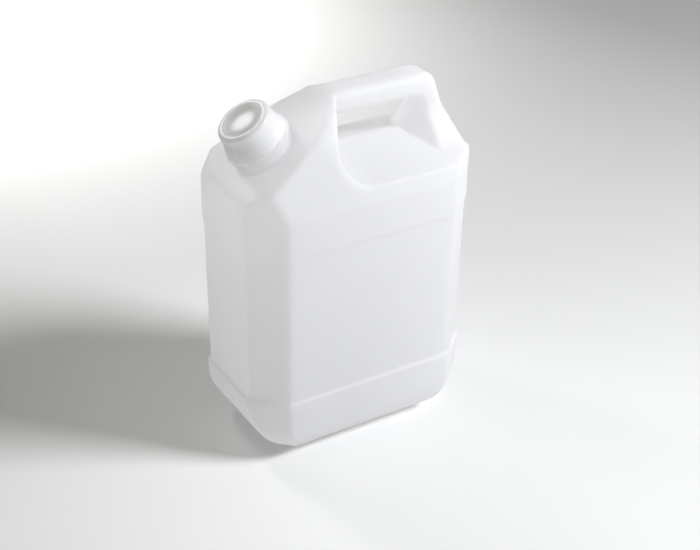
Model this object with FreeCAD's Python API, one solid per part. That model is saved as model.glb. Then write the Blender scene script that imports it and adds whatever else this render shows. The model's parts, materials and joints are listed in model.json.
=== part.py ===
import FreeCAD, Part
import math
import os

# Square blow-moulded jug with a moulded-through handle, a screw cap and a sealing liner.
# Frame: millimetres, +Z up, origin in the middle of the face that the jug stands on.
# X runs along the jug, from the neck end (-X) to the handle's leg (+X). Y runs across it,
# and the parting line of the mould lies in the middle plane, Y = 0.

V = FreeCAD.Vector

# ---- body ----
LENGTH = 190.0              # across the two end faces
WIDTH = 112.0               # across the front and back faces
HEIGHT = 272.5              # top of the handle
WALL = 1.2                  # thickness of the moulded wall
CHAMFER_X = 24.4            # each upright corner is cut off: size along the length
CHAMFER_Y = 22.5            # and across the width
EDGE_ROUND = 5.0            # rounding of the body's outer edges

# ---- base ----
BASE_ROUND_ENDS = 50.0      # rounding under the two end faces
BASE_ROUND_SIDES = 30.0     # rounding under the front and back faces
BASE_ROUND_CORNERS = 36.0   # rounding under the cut corners
PUSH_UP = 2.0               # the middle of the base is lifted, so the jug stands on a rim
PUSH_UP_LENGTH = 74.0
PUSH_UP_WIDTH = 38.0
PUSH_UP_CORNER = 12.0       # its corners are cut off too
PUSH_UP_ROUND = 6.0
PUSH_UP_TAPER = 3.0         # each side of the lifted middle slopes in by this much

# ---- sunk label panel, which runs all the way round ----
PANEL_LOW_Z = 53.5          # the foot's upper edge
PANEL_HIGH_Z = 177.0        # the upper band's lower edge
PANEL_DEPTH = 2.0           # depth at the foot
PANEL_HIGH_DEPTH = 1.1      # and at the upper band, because the panel leans out slightly
PANEL_LOW_STEP = 1.6        # height of the slope from the foot into the panel
PANEL_HIGH_STEP = 4.0       # and of the gentler slope out to the upper band

# ---- shoulder, seen from the end ----
CREASE_Z = 204.5            # where the front and back faces turn inward
SHOULDER_HALF_WIDTH = 36.0  # half the width where the slope breaks
SHOULDER_Z = 251.5
SHOULDER_ROUND = 30.0
CROWN_HALF_WIDTH = 14.0     # half the width at the top, before rounding
CROWN_ROUND = 9.0

# ---- shoulder, seen from the front ----
NECK_TILT = 32.5            # degrees that the neck's axis leans from upright
NECK_END_Z = 214.0          # height where the neck slope meets the end face
NECK_END_ROUND = 9.0
ROOT_Z = 248.0              # where the neck slope turns up into the handle's root
ROOT_ROUND = 30.0
ROOT_TOP_X = -12.0          # where the root meets the top
ROOT_TOP_ROUND = 20.0
LEG_LEAN = 19.0             # degrees that the handle leg's outer face leans inward
LEG_END_Z = 214.0           # top of the upright end face at the leg
TOP_END_ROUND = 16.0

# ---- recess around the handle ----
POCKET_X = -3.5             # left wall of the recess at the middle plane
POCKET_DRAFT = 25.0         # degrees that this wall opens outward
CREST_Z = 230.4             # top of the recess floor, at the middle plane
FLOOR_SLOPE = 16.8          # degrees that the floor falls to the front and the back
POCKET_ROUND_IN = 8.0       # corner of the recess outline at the middle plane
POCKET_ROUND_OUT = 32.0     # and at the front and back faces
LIP_ROUND = 2.5             # rounding of the recess's rim
CREST_ROUND = 8.0           # rounding along the middle of its floor and of its left wall

# ---- handle: a bar, and a leg that widens to its foot ----
BAR_HALF_WIDTH = 14.0
BAR_THICK = 18.0            # height of the bar
BAR_UNDER_Z = HEIGHT - BAR_THICK
BAR_SWELL = 1.0             # its underside is this much fuller in the middle
BEND_SWELL = 3.0            # and so is the leg's inner side, at the bend's lower corner
LEG_SWELL = 7.0             # and at the bend's end
BAR_START_X = -11.0         # the bar's buried end
BAR_END_DEPTH = 47.0        # the bar starts to bend down this far in from the end face
BAR_END_X = LENGTH / 2 - BAR_END_DEPTH
BEND_START = 4.0            # the bend runs straight for this long, level with the bar
BEND_OUTER_ROUND = 12.0     # size of the bend at the handle's outer corner
BEND_INNER_ROUND = 18.0     # and at its inner corner
BEND_LOW_Z = 257.0          # the bend's last section above the leg
BEND_LOW_INNER_Z = 248.5
LEG_TOP_Z = 245.5           # where the leg starts to widen
LEG_FOOT_Z = 220.0
LEG_FOOT_HALF_WIDTH = 34.0
LEG_START = 3.0             # the bend and the leg share sections this far apart
LEG_BURIED_Z = 212.0        # the leg runs down into the body to here
LEG_DEPTH = 48.0            # from the end face to the leg's nose at its foot
LEG_INNER_X = LENGTH / 2 - LEG_DEPTH
LEG_INNER_LEAN = 25.0       # degrees that the nose leans away from the hole as it rises
LEG_INNER_DRAFT = 31.0      # degrees that the two inner faces fall back from the nose
HANDLE_ROUND = 7.0          # rounding of the handle's outer edges
HANDLE_INNER_ROUND = 5.0    # and of its edges at the finger hole
NOSE_ROUND = 14.0

# ---- neck ----
NECK_DEPTH = 35.1           # from the end face to where the neck's axis meets the slope
NECK_X = NECK_DEPTH - LENGTH / 2
NECK_OUTER = 33.6           # diameter at the thread's root
NECK_WALL = 2.0
NECK_BORE = NECK_OUTER - 2 * NECK_WALL
NECK_HEIGHT = 25.8          # from the neck slope to the lip
NECK_BURIED = 12.0          # the neck's profiles run this far into the body
BOSS_STEP = 3.7             # the boss under the bead stands out from the thread's root
NECK_BOSS = NECK_OUTER + 2 * BOSS_STEP
BOSS_WALL = 2.2
BOSS_FLARE = 3.0            # curved foot of the boss
BEAD_STEP = 8.0             # the bead stands out from the thread's root
BEAD_DIAMETER = NECK_OUTER + 2 * BEAD_STEP
BEAD_LOW = 8.0              # height of the bead's underside above the neck slope
BEAD_THICK = 3.0
NECK_EDGE_ROUND = 0.8       # rounding of the bead's edges and of the lip

# ---- cap and liner ----
THREAD_DEPTH = 1.2          # height of the thread on the neck
THREAD_GAP = 0.3            # running gap between the thread's crest and the cap's bore
CAP_BORE = NECK_OUTER + 2 * (THREAD_DEPTH + THREAD_GAP)
CAP_TOP_WALL = 1.6          # the cap's wall at its top
CAP_TOP_DIAMETER = CAP_BORE + 2 * CAP_TOP_WALL
CAP_FLARE = 3.7             # the skirt stands out from the top
CAP_SKIRT_DIAMETER = CAP_TOP_DIAMETER + 2 * CAP_FLARE
CAP_WALL = 1.7              # the cap's wall at its lower edge
CAP_GAP = 0.8               # from the bead's top to the cap's lower edge
CAP_BORE_DEPTH = 4.6        # the straight part of its bore, below the underside of its top
CAP_BELL = 1.25             # how far the skirt's curve is pulled in from a straight slope
CAP_LOWER_EDGE = 0.5        # bevel of its lower edge
CAP_EDGE_ROUND = 1.4        # rounding of the rim's outer edge
CAP_PLATE = 1.7             # thickness of the top in the middle of the dish
RIM_WIDTH = 3.2             # the rim around the dished top
DISH_DEPTH = 2.4
DISH_FLAT = 12.0            # the flat middle of the dish
LINER_THICK = 1.2
LINER_GAP = 0.3             # between the liner's edge and the cap's bore


def rounded_wire(corners, place):
    """Closed wire through the corners (a, b, radius), mapped to space by place."""
    count = len(corners)
    edges = []
    starts = []
    ends = []
    for i in range(count):
        a, b, radius = corners[i]
        corner = V(a, b, 0)
        before = V(corners[i - 1][0], corners[i - 1][1], 0) - corner
        after = V(corners[(i + 1) % count][0], corners[(i + 1) % count][1], 0) - corner
        before.normalize()
        after.normalize()
        half = before.getAngle(after) / 2
        reach = radius / math.tan(half)
        starts.append(corner + before * reach)
        ends.append(corner + after * reach)
        if radius > 0:
            inward = (before + after).normalize()
            middle = corner + inward * (radius / math.sin(half) - radius)
            arc = Part.Arc(place(starts[i]), place(middle), place(ends[i]))
            edges.append(arc.toShape())
        following = V(corners[(i + 1) % count][0], corners[(i + 1) % count][1], 0)
        next_reach = 0
        if corners[(i + 1) % count][2] > 0:
            third = V(corners[(i + 2) % count][0], corners[(i + 2) % count][1], 0)
            back = (corner - following).normalize()
            onward = (third - following).normalize()
            next_reach = corners[(i + 1) % count][2] / math.tan(back.getAngle(onward) / 2)
        arrive = following + (corner - following).normalize() * next_reach
        if arrive.distanceToPoint(ends[i]) > 1e-6:
            edges.append(Part.LineSegment(place(ends[i]), place(arrive)).toShape())
    return Part.Wire(edges)


def on_plan(p):
    return V(p.x, p.y, 0)


def on_side(p):
    return V(p.x, 0, p.y)


def on_end(p):
    return V(0, p.x, p.y)


def prism(wire, inset, reach):
    """The wire's face, moved inward by inset and pushed out by reach on both sides."""
    face = Part.Face(wire)
    if inset:
        face = face.makeOffset2D(-inset)
    face.translate(reach * -1)
    return face.extrude(reach * 2)


def plan_wire(radius):
    """The body's outline from above: a rectangle with its corners cut off."""
    x = LENGTH / 2
    y = WIDTH / 2
    quarter = [(x, y - CHAMFER_Y), (x - CHAMFER_X, y)]
    ring = quarter + [(-a, b) for a, b in reversed(quarter)]
    ring += [(-a, -b) for a, b in quarter] + [(a, -b) for a, b in reversed(quarter)]
    return rounded_wire([(a, b, radius) for a, b in ring], on_plan)


def sharp_edges(shape):
    """Edges where two faces meet at a visible angle."""
    least = math.radians(10)
    found = []
    for edge in shape.Edges:
        if edge.Length < 0.1:
            continue
        point = edge.valueAt((edge.FirstParameter + edge.LastParameter) / 2)
        normals = []
        for face in shape.ancestorsOfType(edge, Part.Face):
            u, v = face.Surface.parameter(point)
            normals.append(face.normalAt(u, v))
        if len(normals) == 2 and normals[0].getAngle(normals[1]) > least:
            found.append(edge)
    return found


def neck_slope_x(z):
    return -LENGTH / 2 + (z - NECK_END_Z) / math.tan(math.radians(NECK_TILT))


def leg_outer_x(z):
    return LENGTH / 2 - (z - LEG_END_Z) * math.tan(math.radians(LEG_LEAN))


def leg_inner_x(z):
    return LEG_INNER_X + (z - LEG_FOOT_Z) * math.tan(math.radians(LEG_INNER_LEAN))


def bulk(inset):
    """The body without its recess: the outlines from above, front, end and corners in common."""
    x = LENGTH / 2
    y = WIDTH / 2
    front = [
        (-x, 0, BASE_ROUND_ENDS),
        (x, 0, BASE_ROUND_ENDS),
        (x, LEG_END_Z, 0),
        (leg_outer_x(HEIGHT), HEIGHT, TOP_END_ROUND),
        (ROOT_TOP_X, HEIGHT, ROOT_TOP_ROUND),
        (neck_slope_x(ROOT_Z), ROOT_Z, ROOT_ROUND),
        (-x, NECK_END_Z, NECK_END_ROUND),
    ]
    half_end = [
        (y, 0, BASE_ROUND_SIDES),
        (y, CREASE_Z, 0),
        (SHOULDER_HALF_WIDTH, SHOULDER_Z, SHOULDER_ROUND),
        (CROWN_HALF_WIDTH, HEIGHT, CROWN_ROUND),
    ]
    end = half_end + [(-a, b, radius) for a, b, radius in reversed(half_end)]
    solid = prism(plan_wire(0), inset, V(0, 0, HEIGHT))
    solid = solid.common(prism(rounded_wire(front, on_side), inset, V(0, WIDTH, 0)))
    solid = solid.common(prism(rounded_wire(end, on_end), inset, V(LENGTH, 0, 0)))
    across = V(CHAMFER_Y, CHAMFER_X, 0).normalize()
    reach = across.dot(V(x, y - CHAMFER_Y, 0))
    corner = [
        (-reach, 0, BASE_ROUND_CORNERS),
        (reach, 0, BASE_ROUND_CORNERS),
        (reach, HEIGHT * 2, 0),
        (-reach, HEIGHT * 2, 0),
    ]
    for turn in (-1, 1):
        outward = V(across.x, across.y * turn, 0)
        along = V(-outward.y, outward.x, 0)
        wire = rounded_wire(corner, lambda p: outward * p.x + V(0, 0, p.y))
        solid = solid.common(prism(wire, inset, along * LENGTH))
    solid = solid.removeSplitter().Solids[0]
    return solid.makeFillet(EDGE_ROUND - inset, sharp_edges(solid))


def panel_cutter(inset):
    """Ring that sinks the label panel, with a sloping step at its top and bottom."""
    outline = Part.Face(plan_wire(EDGE_ROUND))
    proud = outline.makeOffset2D(-inset) if inset else outline
    sunk_low = outline.makeOffset2D(-inset - PANEL_DEPTH)
    sunk_high = outline.makeOffset2D(-inset - PANEL_HIGH_DEPTH)
    low = PANEL_LOW_Z - inset
    high = PANEL_HIGH_Z + inset

    def at(face, z):
        wire = face.OuterWire.copy()
        wire.translate(V(0, 0, z))
        return wire

    heights = [
        (proud, low),
        (sunk_low, low + PANEL_LOW_STEP),
        (sunk_high, high - PANEL_HIGH_STEP),
        (proud, high),
    ]
    core = Part.makeLoft([at(face, z) for face, z in heights], True, True)
    ring = Part.makeBox(LENGTH * 2, WIDTH * 2, high - low, V(-LENGTH, -WIDTH, low))
    return ring.cut(core)


def pocket(inset):
    """Recess around the handle, opening evenly from the middle plane to the front and back."""
    draft = math.radians(POCKET_DRAFT)
    slope = math.radians(FLOOR_SLOPE)
    above = HEIGHT * 2

    def outline(y):
        left = POCKET_X - y * math.tan(draft) - inset / math.cos(draft)
        floor = CREST_Z - y * math.tan(slope) - inset / math.cos(slope)
        share = y / (WIDTH / 2)
        radius = POCKET_ROUND_IN + (POCKET_ROUND_OUT - POCKET_ROUND_IN) * share + inset
        return [(left, above, 0), (left, floor, radius), (LENGTH, floor, 0), (LENGTH, above, 0)]

    halves = []
    for side in (-1, 1):
        middle = rounded_wire(outline(0), on_side)
        outside = rounded_wire(outline(WIDTH), lambda p: V(p.x, side * WIDTH, p.y))
        halves.append(Part.makeLoft([middle, outside], True, True))
    return halves[0].fuse(halves[1]).removeSplitter()


def handle_section(outer, inner, outer_half, side_half, side_back, inset):
    """Cross-section of the handle from its outer point to its nose at the finger hole."""
    start = V(outer[0], 0, outer[1])
    inward = V(inner[0], 0, inner[1]) - start
    depth = inward.Length
    inward.normalize()
    corners = [
        (0, -outer_half, HANDLE_ROUND),
        (depth - side_back, -side_half, HANDLE_INNER_ROUND),
        (depth, 0, NOSE_ROUND),
        (depth - side_back, side_half, HANDLE_INNER_ROUND),
        (0, outer_half, HANDLE_ROUND),
    ]
    wire = rounded_wire(corners, lambda p: start + inward * p.x + V(0, p.y, 0))
    if inset:
        wire = Part.Face(wire).makeOffset2D(-inset).OuterWire
    return wire


def handle(inset):
    """The bar is a straight run, the bend a smooth loft, and the widening leg a ruled one."""
    bar = BAR_HALF_WIDTH
    swell = BAR_SWELL
    under = BAR_UNDER_Z
    first = handle_section((BAR_START_X, HEIGHT), (BAR_START_X, under), bar, bar, swell, inset)
    straight = Part.Face(first).extrude(V(BAR_END_X - BAR_START_X, 0, 0))
    spread = (LEG_FOOT_HALF_WIDTH - bar) / (LEG_TOP_Z - LEG_FOOT_Z)
    draft = math.tan(math.radians(LEG_INNER_DRAFT))
    lean_inset = inset * (1 / math.cos(math.radians(LEG_LEAN)) - 1)

    def leg_station(z):
        half = bar + (LEG_TOP_Z - z) * spread
        return (leg_outer_x(z) - lean_inset, z), (leg_inner_x(z), z), half, half, half * draft

    corner = leg_outer_x(HEIGHT)
    level = BAR_END_X + BEND_START
    outer_drop = BEND_OUTER_ROUND * (1 - math.sin(math.radians(45 + LEG_LEAN / 2)))
    stations = [
        ((BAR_END_X, HEIGHT), (BAR_END_X, under), bar, bar, swell),
        ((level, HEIGHT), (level, under), bar, bar, swell),
        ((corner - BEND_OUTER_ROUND, HEIGHT), (corner - BEND_INNER_ROUND, under), bar, bar, swell),
        ((corner, HEIGHT - BEND_OUTER_ROUND / 2 + outer_drop),
         (corner - BEND_OUTER_ROUND, under - 2 * swell), bar, bar, BEND_SWELL),
        ((leg_outer_x(BEND_LOW_Z), BEND_LOW_Z),
         (leg_inner_x(BEND_LOW_INNER_Z), BEND_LOW_INNER_Z), bar, bar, LEG_SWELL),
        leg_station(LEG_TOP_Z - LEG_START),
        leg_station(LEG_TOP_Z - 2 * LEG_START),
    ]
    bend = [handle_section(*station, inset) for station in stations]
    foot = handle_section(*leg_station(LEG_BURIED_Z), inset)
    return straight, Part.makeLoft(bend, True, False), Part.makeLoft([bend[-1], foot], True, True)


def base_push_up(inset):
    """Shallow octagonal hollow under the base."""
    x = PUSH_UP_LENGTH / 2 + inset
    y = PUSH_UP_WIDTH / 2 + inset
    cut = PUSH_UP_CORNER
    ring = [(x, y - cut), (x - cut, y), (cut - x, y), (-x, y - cut)]
    ring += [(-x, cut - y), (cut - x, -y), (x - cut, -y), (x, cut - y)]
    low = rounded_wire([(a, b, PUSH_UP_ROUND) for a, b in ring], on_plan)
    taper = PUSH_UP_TAPER
    inner = [(a * (x - taper) / x, b * (y - taper) / y, PUSH_UP_ROUND) for a, b in ring]
    high = rounded_wire(inner, lambda p: V(p.x, p.y, PUSH_UP + inset))
    return Part.makeLoft([low, high], True, True)


def form(inset):
    """The moulded body and handle, with every face moved inward by inset."""
    solid = bulk(inset)
    body = solid.cut(pocket(inset)).removeSplitter().Solids[0]
    ridge = [edge for edge in sharp_edges(body) if abs(edge.CenterOfMass.y) < 1]
    body = body.makeFillet(CREST_ROUND - inset, ridge).Solids[0]
    body = body.makeFillet(LIP_ROUND - inset, sharp_edges(body)).Solids[0]
    body = body.cut(panel_cutter(inset))
    straight, bend, leg = handle(inset)
    body = body.fuse([straight.common(solid), bend, leg.common(solid)])
    body = body.cut(base_push_up(inset))
    return body.removeSplitter()


def on_neck(shape):
    """Moves a shape built about the Z axis, with the neck slope at Z = 0, onto the neck."""
    shape.rotate(V(0, 0, 0), V(0, 1, 0), -NECK_TILT)
    rise = (NECK_X + LENGTH / 2) * math.tan(math.radians(NECK_TILT))
    shape.translate(V(NECK_X, 0, NECK_END_Z + rise))
    return shape


def turned(steps):
    """Solid of revolution about Z. Each step is (radius, height), or two of them for an arc:
    the arc's middle point and its end."""
    edges = []
    last = V(steps[0][0], 0, steps[0][1])
    for step in steps[1:] + steps[:1]:
        points = [V(step[i], 0, step[i + 1]) for i in range(0, len(step), 2)]
        if len(points) == 2:
            edges.append(Part.Arc(last, points[0], points[1]).toShape())
        else:
            edges.append(Part.LineSegment(last, points[0]).toShape())
        last = points[-1]
    return Part.Face(Part.Wire(edges)).revolve(V(0, 0, 0), V(0, 0, 1), 360)


def neck_outside():
    boss = NECK_BOSS / 2
    root = NECK_OUTER / 2
    bead = BEAD_DIAMETER / 2
    bead_high = BEAD_LOW + BEAD_THICK
    edge = NECK_EDGE_ROUND
    bend = 1 - math.sqrt(0.5)
    return turned([
        (0, -NECK_BURIED),
        (boss, -NECK_BURIED),
        (boss + BOSS_FLARE, -NECK_BURIED),
        (boss + BOSS_FLARE, 0),
        (boss + BOSS_FLARE * bend, BOSS_FLARE * bend, boss, BOSS_FLARE),
        (boss, BEAD_LOW),
        (bead - edge, BEAD_LOW),
        (bead - edge * bend, BEAD_LOW + edge * bend, bead, BEAD_LOW + edge),
        (bead, bead_high - edge),
        (bead - edge * bend, bead_high - edge * bend, bead - edge, bead_high),
        (root, bead_high),
        (root, NECK_HEIGHT - edge),
        (root - edge * bend, NECK_HEIGHT - edge * bend, root - edge, NECK_HEIGHT),
        (0, NECK_HEIGHT),
    ])


def neck_inside():
    wide = NECK_BOSS / 2 - BOSS_WALL
    bore = NECK_BORE / 2
    return turned([
        (0, -NECK_BURIED),
        (wide, -NECK_BURIED),
        (wide, BEAD_LOW - BOSS_WALL),
        (bore, BEAD_LOW + BEAD_THICK),
        (bore, NECK_HEIGHT + 1),
        (0, NECK_HEIGHT + 1),
    ])


def jug():
    outside = form(0).fuse(on_neck(neck_outside()))
    inside = form(WALL).fuse(on_neck(neck_inside()))
    return outside.cut(inside).removeSplitter()


def cap():
    low = BEAD_LOW + BEAD_THICK + CAP_GAP
    under = NECK_HEIGHT + LINER_THICK
    dish_floor = under + CAP_PLATE
    high = dish_floor + DISH_DEPTH
    top = CAP_TOP_DIAMETER / 2
    skirt = CAP_SKIRT_DIAMETER / 2
    dish = top - RIM_WIDTH
    reach = dish - DISH_FLAT / 2
    dish_radius = (reach ** 2 + DISH_DEPTH ** 2) / (2 * DISH_DEPTH)
    half = math.asin(reach / dish_radius) / 2
    dish_middle = DISH_FLAT / 2 + dish_radius * math.sin(half)
    shell = high - CAP_EDGE_ROUND
    bend = 1 - math.sqrt(0.5)
    turn = CAP_EDGE_ROUND * bend
    return turned([
        (0, under),
        (CAP_BORE / 2, under),
        (CAP_BORE / 2, under - CAP_BORE_DEPTH),
        (skirt - CAP_WALL, low),
        (skirt - CAP_LOWER_EDGE, low),
        (skirt, low + CAP_LOWER_EDGE),
        ((top + skirt) / 2 - CAP_BELL / 2, (low + shell) / 2, top, shell),
        (top - turn, high - turn, top - CAP_EDGE_ROUND, high),
        (dish, high),
        (dish_middle, dish_floor + dish_radius * (1 - math.cos(half)), DISH_FLAT / 2, dish_floor),
        (0, dish_floor),
    ])


def liner():
    radius = CAP_BORE / 2 - LINER_GAP
    return Part.makeCylinder(radius, LINER_THICK, V(0, 0, NECK_HEIGHT))


os.makedirs("parts", exist_ok=True)
jug().exportStep("parts/jug.step")
on_neck(cap()).exportStep("parts/cap.step")
on_neck(liner()).exportStep("parts/liner.step")
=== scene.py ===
# %% [markdown]
# # A square plastic jug
# A blow-moulded jug of milky polyethylene with a moulded-through handle, a tilted neck and a
# screw cap. The CAD model gives the frame: every piece below takes its place from it.

# %% Open the frame
import json
import math

import bpy
from mathutils import Matrix, Vector

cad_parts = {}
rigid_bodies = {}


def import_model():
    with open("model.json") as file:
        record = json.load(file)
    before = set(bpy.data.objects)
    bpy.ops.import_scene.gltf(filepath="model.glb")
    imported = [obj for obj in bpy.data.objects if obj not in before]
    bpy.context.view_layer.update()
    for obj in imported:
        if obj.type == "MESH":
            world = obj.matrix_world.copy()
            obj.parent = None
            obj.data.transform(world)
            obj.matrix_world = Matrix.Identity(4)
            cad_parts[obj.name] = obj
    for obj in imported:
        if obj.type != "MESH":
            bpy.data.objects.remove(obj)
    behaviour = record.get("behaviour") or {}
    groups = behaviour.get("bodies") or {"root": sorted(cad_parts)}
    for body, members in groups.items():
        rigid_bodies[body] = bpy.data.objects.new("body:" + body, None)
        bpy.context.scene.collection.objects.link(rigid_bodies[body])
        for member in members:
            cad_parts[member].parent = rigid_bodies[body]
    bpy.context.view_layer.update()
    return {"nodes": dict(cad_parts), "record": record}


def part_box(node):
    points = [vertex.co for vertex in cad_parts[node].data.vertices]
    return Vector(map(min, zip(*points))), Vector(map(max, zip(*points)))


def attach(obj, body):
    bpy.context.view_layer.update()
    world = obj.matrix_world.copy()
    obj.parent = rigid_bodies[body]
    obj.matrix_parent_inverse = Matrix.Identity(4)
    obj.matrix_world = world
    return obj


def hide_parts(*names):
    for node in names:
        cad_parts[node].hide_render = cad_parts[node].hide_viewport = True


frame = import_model()

# %% [markdown]
# ## Where the neck is
# The neck leans toward the end of the jug. Its axis is the one that the cap turns about, so it
# is read from the joint. Heights on the neck are measured along that axis from the joint's
# point, which lies on the sloping shoulder that the neck grows out of. The liner disc sits on
# the neck's lip, so the middle of its box tells how long the neck is.

# %% Read the neck's axis
turn = [joint for joint in frame["record"]["behaviour"]["joints"] if joint["name"] == "cap_turn"][0]
neck_foot = Vector(turn["pos_m"])
neck_axis = Vector(turn["axis"]).normalized()
MM = 0.001
LINER_THICK = 1.2 * MM
low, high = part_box("liner")
LIP = ((low + high) / 2 - neck_foot).dot(neck_axis) - LINER_THICK / 2
print("the lip is", round(LIP / MM, 2), "mm up the neck's axis")


def along_neck(point):
    """Height of a point up the neck's axis, and its distance from the axis."""
    offset = Vector(point) - neck_foot
    height = offset.dot(neck_axis)
    return height, (offset - neck_axis * height).length


# %% [markdown]
# ## Small helpers for modelling
# Blender's operators act on whatever is selected, so each step first selects just one object.
# In edit mode, faces are picked by where they are, as a hand with a selection box would do it.

# %% Helpers for selecting
def only(obj):
    if bpy.context.object and bpy.context.object.mode != "OBJECT":
        bpy.ops.object.mode_set(mode="OBJECT")
    bpy.ops.object.select_all(action="DESELECT")
    obj.select_set(True)
    bpy.context.view_layer.objects.active = obj


def pick_faces(obj, test):
    """Selects the faces whose centre passes the test, and nothing else. Leaves edit mode off."""
    only(obj)
    bpy.ops.object.mode_set(mode="EDIT")
    bpy.ops.mesh.select_mode(type="FACE")
    bpy.ops.mesh.select_all(action="DESELECT")
    bpy.ops.object.mode_set(mode="OBJECT")
    chosen = 0
    for face in obj.data.polygons:
        face.select = test(face)
        chosen += face.select
    return chosen


def delete_picked(obj):
    only(obj)
    bpy.ops.object.mode_set(mode="EDIT")
    bpy.ops.mesh.delete(type="FACE")
    bpy.ops.object.mode_set(mode="OBJECT")


# %% [markdown]
# ## The moulded skin
# A blown jug has no sharp edges: the plastic is pressed against the mould as a soft bubble, and
# every edge and junction comes out a little rounder than the mould, with faces that are never
# quite flat. The CAD wall has the right sizes but crisp junctions. So its mesh is copied and
# merged, the flat ring of the neck's lip is taken off, and the wall falls apart into its outside
# and its inside.

# %% Part the wall into its outside and its inside
def copied(node, name):
    only(frame["nodes"][node])
    bpy.ops.object.duplicate()
    obj = bpy.context.object
    bpy.ops.object.parent_clear(type="CLEAR_KEEP_TRANSFORM")
    obj.name = name
    obj.data.name = name
    bpy.ops.mesh.customdata_custom_splitnormals_clear()
    bpy.ops.object.mode_set(mode="EDIT")
    bpy.ops.mesh.select_all(action="SELECT")
    bpy.ops.mesh.remove_doubles(threshold=1e-6)
    bpy.ops.object.mode_set(mode="OBJECT")
    return obj


skin = copied("jug", "jug_skin")
on_lip = pick_faces(skin, lambda face: abs(along_neck(face.center)[0] - LIP) < 0.02 * MM)
delete_picked(skin)
bpy.ops.mesh.separate(type="LOOSE")
walls = sorted(bpy.context.selected_objects, key=lambda o: o.dimensions.length, reverse=True)
skin, inside = walls[:2]
skin.name = "jug_skin"
inside.name = "jug_inside"
print("lip faces", on_lip, "walls", [(o.name, len(o.data.polygons)) for o in walls])

# %% [markdown]
# ## Softening the skin
# The outside is closed at the lip and remeshed into small even squares, which makes one body of
# the shoulder, the handle and its foot. One pass of smoothing takes the steps of the squares off.
# Bevelling the CAD edges would be sharper, but a bevel breaks down where many curved faces meet.

# %% Remesh and smooth
def apply_modifier(obj, kind, **settings):
    only(obj)
    modifier = obj.modifiers.new(kind.title(), kind)
    for key, value in settings.items():
        setattr(modifier, key, value)
    bpy.ops.object.modifier_apply(modifier=modifier.name)


only(skin)
bpy.ops.object.mode_set(mode="EDIT")
bpy.ops.mesh.select_mode(type="EDGE")
bpy.ops.mesh.select_all(action="DESELECT")
bpy.ops.mesh.select_non_manifold()
bpy.ops.mesh.edge_face_add()
bpy.ops.object.mode_set(mode="OBJECT")
SQUARE = 0.95 * MM
apply_modifier(skin, "REMESH", mode="VOXEL", voxel_size=SQUARE)
bpy.ops.object.mode_set(mode="EDIT")
bpy.ops.mesh.select_all(action="SELECT")
bpy.ops.mesh.vertices_smooth(factor=0.5, repeat=1)
bpy.ops.object.mode_set(mode="OBJECT")
print("skin faces", len(skin.data.polygons))

# %% [markdown]
# ## Softer corners
# The mould's edges are not all alike. The foot's rib and the recess's ledge are crisp, while the
# upright corners, the recess's left rim and the shoulder round the neck are broad and soft. The
# faces near each of these are picked and smoothed more, but not so far that the wall's inside
# would come through.

# %% Round the corners, the left rim and the shoulder
half_length, half_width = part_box("jug")[1][0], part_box("jug")[1][1]
CUT_ALONG = 24.4 * MM
CUT_ACROSS = 22.5 * MM
CORNERS = [
    Vector((end * along, side * across))
    for end in (-1, 1) for side in (-1, 1)
    for along, across in ((half_length, half_width - CUT_ACROSS), (half_length - CUT_ALONG, half_width))
]


def at_corner(face):
    nearest = min((face.center.xy - corner).length for corner in CORNERS)
    return 62 * MM < face.center.z < 205 * MM and nearest < 9 * MM


def at_left_rim(face):
    x, y, z = face.center / MM
    return -38 < x < 8 and 214 < z < 244 and abs(y) > 10


def at_shoulder(face):
    x, y, z = face.center / MM
    return (x < -18 and z > 207 or x < -56 and z > 194) and along_neck(face.center)[1] > 28 * MM


for near, passes in ((at_corner, 24), (at_left_rim, 20), (at_shoulder, 20)):
    print(near.__name__, pick_faces(skin, near), "faces")
    bpy.ops.object.mode_set(mode="EDIT")
    bpy.ops.mesh.vertices_smooth(factor=0.5, repeat=passes)
    bpy.ops.object.mode_set(mode="OBJECT")

# %% [markdown]
# ## Sunken faces
# The flat faces of such a jug sink by a fraction of a millimetre as it cools. A broad, shallow
# cloud pattern pushes them in, and only in, so the jug keeps its size. A group of weights keeps
# it off the neck and the base. The small squares that the flat faces don't need are then merged.

# %% Let the faces sink
free = skin.vertex_groups.new(name="free_to_sink")
for vertex in skin.data.vertices:
    near_neck = (along_neck(vertex.co)[1] - 26 * MM) / (12 * MM)
    near_base = vertex.co.z / (30 * MM)
    free.add([vertex.index], max(0.0, min(near_neck, near_base, 1.0)), "REPLACE")
sink = bpy.data.textures.new("sink", "CLOUDS")
sink.noise_scale = 55 * MM
sink.noise_depth = 1
apply_modifier(
    skin, "DISPLACE", texture=sink, strength=-0.6 * MM, mid_level=0.0, texture_coords="LOCAL",
    vertex_group="free_to_sink",
)
TRIANGLES_KEPT = 180000
share = TRIANGLES_KEPT / (2 * len(skin.data.polygons))
apply_modifier(skin, "DECIMATE", ratio=share, use_collapse_triangulate=True)
print("skin faces", len(skin.data.polygons), "size", [round(d / MM, 2) for d in skin.dimensions])

# %% [markdown]
# ## Making room for the neck
# The neck is turned and needs finer, rounder edges than the skin's small squares can hold. Its
# part of the skin is taken away just inside the curved foot of the neck, and the inside wall
# loses its bore, because the turned neck brings its own.

# %% Open the skin at the neck
def in_neck(face):
    height, radius = along_neck(face.center)
    return height > -0.5 * MM and radius < 22.6 * MM or height > 2 * MM and radius < 27 * MM


def in_bore(face):
    height, radius = along_neck(face.center)
    return height > -0.5 * MM and radius < 18.6 * MM


pick_faces(skin, in_neck)
delete_picked(skin)
pick_faces(inside, in_bore)
delete_picked(inside)
for wall, crisp_from in ((skin, 50), (inside, 30)):
    only(wall)
    bpy.ops.object.shade_smooth_by_angle(angle=math.radians(crisp_from))
    print(wall.name, len(wall.data.polygons), "faces")

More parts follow.
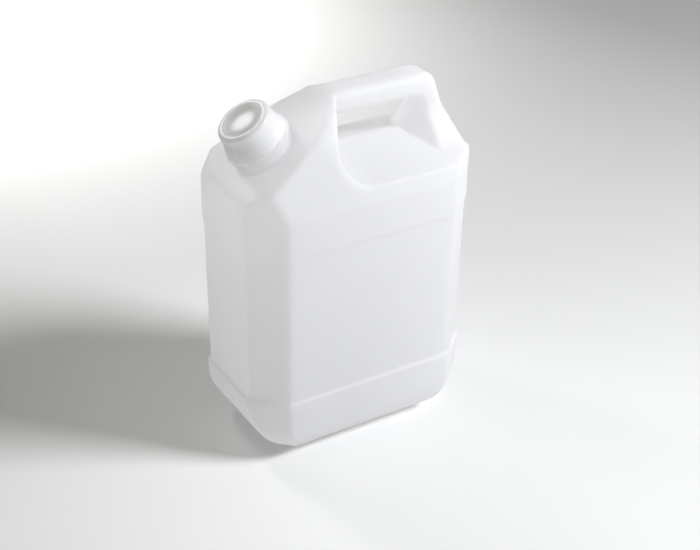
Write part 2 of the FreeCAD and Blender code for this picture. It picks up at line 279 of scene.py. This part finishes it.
# %% [markdown]
# ## Turned pieces
# The neck, the cap and the liner are round, so each is a closed outline that is spun about an
# upright axis and then stood on the neck. A corner of the outline can be given a radius. The
# outline starts as a circle primitive with one vertex for each point, and its vertices are moved
# to their places before the spin.

# %% Helper that spins an outline
def rounded(points):
    """Points (radius, height, rounding) in mm, each rounded corner turned into short steps."""
    out = []
    for i, (r, h, rounding) in enumerate(points):
        here = Vector((r, h))
        if rounding == 0:
            out.append(here)
            continue
        before = (Vector(points[i - 1][:2]) - here).normalized()
        after = (Vector(points[(i + 1) % len(points)][:2]) - here).normalized()
        half = before.angle(after) / 2
        centre = here + (before + after).normalized() * (rounding / math.sin(half))
        start = (here + before * (rounding / math.tan(half)) - centre).normalized()
        end = (here + after * (rounding / math.tan(half)) - centre).normalized()
        steps = max(2, round(math.degrees(start.angle(end)) / 12))
        for k in range(steps + 1):
            out.append(centre + start.slerp(end, k / steps).normalized() * rounding)
    return out


def spun(name, points, steps=144):
    outline = rounded(points)
    bpy.ops.object.select_all(action="DESELECT")
    bpy.ops.mesh.primitive_circle_add(vertices=len(outline), radius=1)
    obj = bpy.context.object
    obj.name = name
    obj.data.name = name
    for vertex, point in zip(obj.data.vertices, outline):
        vertex.co = (point.x * MM, 0, point.y * MM)
    bpy.ops.object.mode_set(mode="EDIT")
    bpy.ops.mesh.select_all(action="SELECT")
    bpy.ops.mesh.spin(steps=steps, angle=math.tau, center=(0, 0, 0), axis=(0, 0, 1))
    bpy.ops.mesh.select_all(action="SELECT")
    bpy.ops.mesh.remove_doubles(threshold=1e-6)
    bpy.ops.mesh.normals_make_consistent(inside=False)
    bpy.ops.object.mode_set(mode="OBJECT")
    return obj


def stand_on_neck(obj):
    """Leans an upright piece onto the neck's axis, and puts its place into its mesh."""
    lean = Vector((0, 0, 1)).rotation_difference(neck_axis).to_matrix().to_4x4()
    obj.matrix_world = Matrix.Translation(neck_foot) @ lean
    only(obj)
    bpy.ops.object.transform_apply(location=True, rotation=True, scale=True)
    bpy.ops.object.shade_smooth_by_angle(angle=math.radians(40))
    return obj


# %% [markdown]
# ## The neck
# Above its curved foot the neck has a short boss, a wide bead that the cap's skirt stops above,
# and a plain root that carries the thread. The outline runs up the outside, over the lip and
# down the bore, so the neck has its true wall.

# %% Spin the neck
lip = LIP / MM
NECK_ROOT = 16.8
BEAD_LOW = 8.0
BEAD_TOP = 11.0
neck = spun("neck_finish", [
    (24.6, -0.5, 0),
    (23.9, -0.05, 0),
    (20.5, 0.05, 2.9),
    (20.5, BEAD_LOW, 0.5),
    (24.8, BEAD_LOW, 1.1),
    (24.8, BEAD_TOP, 1.1),
    (NECK_ROOT, BEAD_TOP, 0.8),
    (NECK_ROOT, lip, 0.7),
    (14.8, lip, 0.4),
    (14.8, 11.0, 2.0),
    (18.3, 5.8, 2.0),
    (18.3, -1.6, 0),
])
stand_on_neck(neck)
print("neck", len(neck.data.polygons), "faces")

# %% [markdown]
# ## The thread
# A thread is one small outline carried round a screw line. The neck has a raised thread on its
# root and the cap has one in its bore, half a turn's rise apart, so that they pass each other.
# Both rise by the same lead as the joints give: the slide's travel for each turn of the cap.

# %% Screw the two threads
coupling = frame["record"]["behaviour"]["couplings"][0]
LEAD = coupling["ratio"] * math.tau / MM
print("lead", round(LEAD, 3), "mm a turn")


def thread(name, root, crest, base, tip, start, turns):
    bpy.ops.object.select_all(action="DESELECT")
    bpy.ops.mesh.primitive_circle_add(vertices=4, radius=1)
    obj = bpy.context.object
    obj.name = name
    obj.data.name = name
    section = [(root, -base / 2), (crest, -tip / 2), (crest, tip / 2), (root, base / 2)]
    for vertex, (r, h) in zip(obj.data.vertices, section):
        vertex.co = (r * MM, 0, (start + h) * MM)
    bpy.ops.object.mode_set(mode="EDIT")
    bpy.ops.mesh.select_all(action="SELECT")
    bpy.ops.mesh.edge_face_add()
    bpy.ops.object.mode_set(mode="OBJECT")
    apply_modifier(
        obj, "SCREW", axis="Z", angle=math.tau * turns, screw_offset=LEAD * MM * turns,
        steps=round(96 * turns), render_steps=round(96 * turns), use_smooth_shade=False,
    )
    bpy.ops.object.mode_set(mode="EDIT")
    bpy.ops.mesh.select_mode(type="EDGE")
    bpy.ops.mesh.select_all(action="DESELECT")
    bpy.ops.mesh.select_non_manifold(
        use_boundary=True, use_wire=False, use_multi_face=False, use_non_contiguous=False,
        use_verts=False,
    )
    bpy.ops.mesh.edge_face_add()
    bpy.ops.mesh.select_all(action="SELECT")
    bpy.ops.mesh.normals_make_consistent(inside=False)
    bpy.ops.object.mode_set(mode="OBJECT")
    return obj


neck_thread = stand_on_neck(thread("neck_thread", NECK_ROOT - 0.15, 17.95, 2.0, 0.9, 13.6, 2.0))
cap_thread = stand_on_neck(thread("cap_thread", 18.45, 17.15, 1.7, 0.8, 15.6, 1.9))
print("threads", len(neck_thread.data.polygons), len(cap_thread.data.polygons), "faces")

# %% [markdown]
# ## The cap
# The cap's skirt flares like a bell, its rim is rounded, and its middle is dished so that the
# top presses the liner evenly on the lip. The bell's curve is a few points on a circular arc.

# %% Spin the cap
CAP_LOW = 11.8
CAP_TOP = 31.1
under = lip + LINER_THICK / MM
cap = spun("cap_shell", [
    (0.01, under, 0),
    (18.3, under, 0.3),
    (18.3, CAP_LOW + 10.6, 0),
    (21.9, CAP_LOW, 0.2),
    (23.6, CAP_LOW, 0.45),
    (23.25, 13.7, 0),
    (22.4, 16.4, 0),
    (21.7, 18.8, 0),
    (21.15, 21.2, 0),
    (20.7, 23.8, 0),
    (20.3, 26.4, 0),
    (19.9, CAP_TOP, 3.0),
    (16.0, CAP_TOP, 2.0),
    (13.4, 29.9, 2.2),
    (11.0, 29.3, 0),
    (8.4, 28.95, 0),
    (5.6, 28.75, 0),
    (0.01, 28.7, 0),
])
stand_on_neck(cap)
print("cap", len(cap.data.polygons), "faces")

# %% [markdown]
# ## The liner
# A disc of white foamed plastic, loose in the cap and pressed on the lip.

# %% Spin the liner
liner = spun("liner_disc", [
    (0.01, lip, 0),
    (17.95, lip, 0.25),
    (17.95, under, 0.25),
    (0.01, under, 0),
], steps=96)
stand_on_neck(liner)

# %% [markdown]
# ## Shader maths
# A material is a small sum. This class wraps one output of a node, so that a pattern can be
# added, multiplied or taken from one with ordinary Python signs, and a second one makes any other
# node from its type, its settings and its inputs.

# %% Helpers for materials
class Value:
    def __init__(self, socket):
        self.socket = socket

    def sum(self, operation, first, second):
        tree = self.socket.id_data
        node = tree.nodes.new("ShaderNodeMath")
        node.operation = operation
        for slot, item in zip(node.inputs, (first, second)):
            if isinstance(item, Value):
                tree.links.new(item.socket, slot)
            else:
                slot.default_value = item
        return Value(node.outputs[0])

    def __add__(self, other):
        return self.sum("ADD", self, other)

    def __radd__(self, other):
        return self.sum("ADD", other, self)

    def __sub__(self, other):
        return self.sum("SUBTRACT", self, other)

    def __rsub__(self, other):
        return self.sum("SUBTRACT", other, self)

    def __mul__(self, other):
        return self.sum("MULTIPLY", self, other)

    def __rmul__(self, other):
        return self.sum("MULTIPLY", other, self)

    def __truediv__(self, other):
        return self.sum("DIVIDE", self, other)

    def limit(self, least, most):
        return self.sum("MAXIMUM", self.sum("MINIMUM", self, most), least)


class Finish:
    def __init__(self, name, **shader):
        self.material = bpy.data.materials.new(name)
        self.material.use_nodes = True
        self.tree = self.material.node_tree
        self.shader = self.tree.nodes["Principled BSDF"]
        for key, value in shader.items():
            self.shader.inputs[key.replace("_", " ")].default_value = value

    def node(self, kind, settings, inputs, output=0):
        """A new node of that type: settings first, then the values or links of its sockets."""
        made = self.tree.nodes.new("ShaderNode" + kind)
        for key, value in settings.items():
            setattr(made, key, value)
        for key, value in inputs.items():
            if isinstance(value, Value):
                self.tree.links.new(value.socket, made.inputs[key])
            else:
                made.inputs[key].default_value = value
        return Value(made.outputs[output])

    def feed(self, name, value):
        self.tree.links.new(value.socket, self.shader.inputs[name])

    def place(self):
        return self.node("TexCoord", {}, {}, "Object")

    def clouds(self, scale, detail=2.0, stretch=None):
        where = self.place()
        if stretch:
            where = self.node("Mapping", {}, {"Vector": where, "Scale": stretch})
        return self.node("TexNoise", {}, {"Vector": where, "Scale": scale, "Detail": detail})

    def blend(self, factor, first, second):
        """Colour between first and second."""
        return self.node("Mix", {"data_type": "RGBA"}, {0: factor, 6: first, 7: second}, 2)

    def bump(self, height, strength, distance):
        sockets = {"Height": height, "Strength": strength, "Distance": distance}
        self.feed("Normal", self.node("Bump", {}, sockets))

    def let_light_through(self, share, colour):
        """Mixes in a share of plain translucency, as in a milky sheet held up to a lamp."""
        through = self.node("BsdfTranslucent", {}, {"Color": colour})
        surface = Value(self.shader.outputs["BSDF"])
        mixed = self.node("MixShader", {}, {"Fac": share, 1: surface, 2: through})
        self.tree.links.new(mixed.socket, self.tree.nodes["Material Output"].inputs["Surface"])


# %% [markdown]
# ## Milky polyethylene
# Unpigmented polyethylene is milky: light passes through the wall, is scattered inside the jug
# and comes out on the dark side, which is never quite dark. Subsurface scattering would do for a
# thick block, but this wall is thin and hollow, so the shader mixes a satin surface with plain
# translucency, on the outside and on the inside. The colour drifts slightly where the wall is
# thicker or thinner. The mould's parting line, a hair-thin ridge along the middle plane, and a
# faint flow grain are the only relief left to the shader.

# %% Make the jug's material
jug_finish = Finish("natural_hdpe", Roughness=0.4, IOR=1.5)
jug_finish.let_light_through(0.78, (0.971, 0.968, 0.967, 1))
depth = jug_finish.clouds(14.0)
pale = jug_finish.blend(depth, (0.905, 0.915, 0.945, 1), (0.94, 0.95, 0.98, 1))
jug_finish.feed("Base Color", pale)
grain = jug_finish.clouds(60.0, 3.0)
jug_finish.feed("Roughness", 0.34 + grain * 0.14)
flow = jug_finish.clouds(220.0, 2.0, (1.0, 1.0, 0.35))
across = jug_finish.node("SeparateXYZ", {}, {"Vector": jug_finish.place()}, "Y")
ridge = 1.0 - (across.sum("ABSOLUTE", across, 0.0) / (0.5 * MM)).limit(0.0, 1.0)
jug_finish.bump(flow * 0.2 + ridge * 1.0, 0.5, 0.0002)

# %% [markdown]
# ## The cap's plastic and the liner's foam
# The cap is glossier and denser, so less light comes through it: a clean white with only a faint
# mottle. The foam is matt with tiny cells.

# %% Make the cap's and the liner's materials
cap_finish = Finish("white_cap", Roughness=0.25, IOR=1.5)
cap_finish.let_light_through(0.52, (0.98, 0.975, 0.975, 1))
mottle = cap_finish.clouds(90.0)
cap_finish.feed("Base Color", cap_finish.blend(mottle, (0.885, 0.89, 0.905, 1), (0.91, 0.915, 0.93, 1)))
cap_finish.feed("Roughness", 0.2 + mottle * 0.12)
cap_finish.bump(cap_finish.clouds(300.0), 0.2, 0.0001)

liner_finish = Finish("liner_foam", Roughness=0.8)
cells = liner_finish.clouds(1500.0, 1.0)
liner_finish.feed("Base Color", liner_finish.blend(cells, (0.84, 0.83, 0.80, 1), (0.9, 0.89, 0.87, 1)))
liner_finish.bump(cells, 0.4, 0.0002)

# %% [markdown]
# ## Putting the pieces in place of the CAD nodes
# Each piece takes its finish, moves with its own body, and stands for the CAD node it shows.

# %% Finish, ride and replace
def fit(obj, finish, body):
    obj.data.materials.clear()
    obj.data.materials.append(finish.material)
    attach(obj, body)


for obj in (skin, inside, neck, neck_thread):
    fit(obj, jug_finish, "jug_body")
for obj in (cap, cap_thread):
    fit(obj, cap_finish, "cap_body")
fit(liner, liner_finish, "liner_body")
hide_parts("jug")
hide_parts("cap")
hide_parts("liner")

# %% [markdown]
# ## The table, the light and the camera
# A plain pale floor with painted shade: its colour is made darker toward the far right, where
# the light falls off. One large, slightly cool light stands to the right, and the rest are weak:
# a fill from the front, a wash on the floor behind, one above the neck, one that only reaches
# the cap's left side, and a small one that draws the glint on the handle. The world's warm grey
# fills the shadows. The lamps don't show themselves.

# %% Floor
bpy.ops.object.select_all(action="DESELECT")
bpy.ops.mesh.primitive_plane_add(size=14, location=(0, 0, 0))
floor = bpy.context.object
floor.name = "floor"
floor_finish = Finish("pale_floor", Roughness=0.7)
ground = floor_finish.node("SeparateXYZ", {}, {"Vector": floor_finish.place()}, "X")
ahead = Value(ground.socket.node.outputs["Y"])
# Painted shade: the floor's colour darkens toward the far right in place of light falling off there,
# with a faint random mottle on top.
painted_shade_far_right = ((ground + ahead * 0.3 - 0.05) * 1.07).limit(0.0, 1.0)
floor_tone_and_painted_shade = floor_finish.clouds(2.0) * 0.06 + painted_shade_far_right - 0.03
NEAR_TONE, PAINTED_SHADE_TONE = (0.82, 0.82, 0.815, 1), (0.46, 0.455, 0.455, 1)
# The floor's colour runs from its pale tone to the darker painted-shade tone.
floor_finish.feed("Base Color", floor_finish.blend(floor_tone_and_painted_shade.limit(0.0, 1.0), NEAR_TONE, PAINTED_SHADE_TONE))
floor.data.materials.append(floor_finish.material)

# %% Lights and world
def softbox(name, place, size, power, colour, aim=(0, 0, 0.12), spread=180):
    bpy.ops.object.select_all(action="DESELECT")
    bpy.ops.object.light_add(type="AREA", location=place)
    lamp = bpy.context.object
    lamp.name = name
    lamp.data.shape = "DISK"
    lamp.data.size = size
    lamp.data.energy = power
    lamp.data.color = colour
    lamp.rotation_euler = (Vector(aim) - Vector(place)).to_track_quat("-Z", "Y").to_euler()
    lamp.data.spread = math.radians(spread)
    lamp.visible_camera = False


softbox("key", (1.21, -1.0, 1.23), 0.6, 43, (0.96, 0.975, 1.0))
softbox("fill", (0.1, -2.0, 1.2), 1.6, 2, (0.90, 0.95, 1.0))
softbox("wash", (0.1, 1.2, 0.95), 0.7, 6, (1.0, 0.995, 0.99), aim=(0.1, 1.1, 0), spread=75)
softbox("top_left", (-0.3, -0.05, 0.65), 0.25, 0.16, (1.0, 0.99, 0.97))
softbox(
    "cap_fill", (-0.26, -0.12, 0.19), 0.12, 0.009, (1.0, 0.985, 0.95), aim=(-0.075, 0, 0.245),
    spread=50,
)
softbox("glint", (-0.2, 0.5, 0.62), 0.15, 0.15, (1.0, 1.0, 1.0), aim=(-0.07, 0, 0.26), spread=60)
world = bpy.data.worlds.new("studio")
bpy.context.scene.world = world
world.use_nodes = True
world.node_tree.nodes["Background"].inputs["Color"].default_value = (1.0, 0.985, 0.935, 1)
world.node_tree.nodes["Background"].inputs["Strength"].default_value = 0.27
bpy.context.scene.view_settings.view_transform = "Standard"

# %% Camera
AZIMUTH, ELEVATION, ROLL = (math.radians(a) for a in (-32.01, 30.18, 1.04))
AIM = Vector((0.00782, -0.00834, 0.11897))
DISTANCE = 1.04308
right = Vector((math.cos(AZIMUTH), math.sin(AZIMUTH), 0))
level_back = Vector((math.sin(AZIMUTH), -math.cos(AZIMUTH), 0))
back = level_back * math.cos(ELEVATION) + Vector((0, 0, math.sin(ELEVATION)))
up = back.cross(right)
turned_right = math.cos(ROLL) * right + math.sin(ROLL) * up
turned_up = math.cos(ROLL) * up - math.sin(ROLL) * right
bpy.ops.object.select_all(action="DESELECT")
bpy.ops.object.camera_add()
camera = bpy.context.object
place = Matrix((turned_right, turned_up, back)).transposed().to_4x4()
place.translation = AIM + back * DISTANCE
camera.matrix_world = place
camera.data.sensor_width = 36
camera.data.lens = 70.48
camera.data.clip_end = 100
bpy.context.scene.camera = camera

# %% [markdown]
# ## Finish

# %% Finish
bpy.context.view_layer.update()
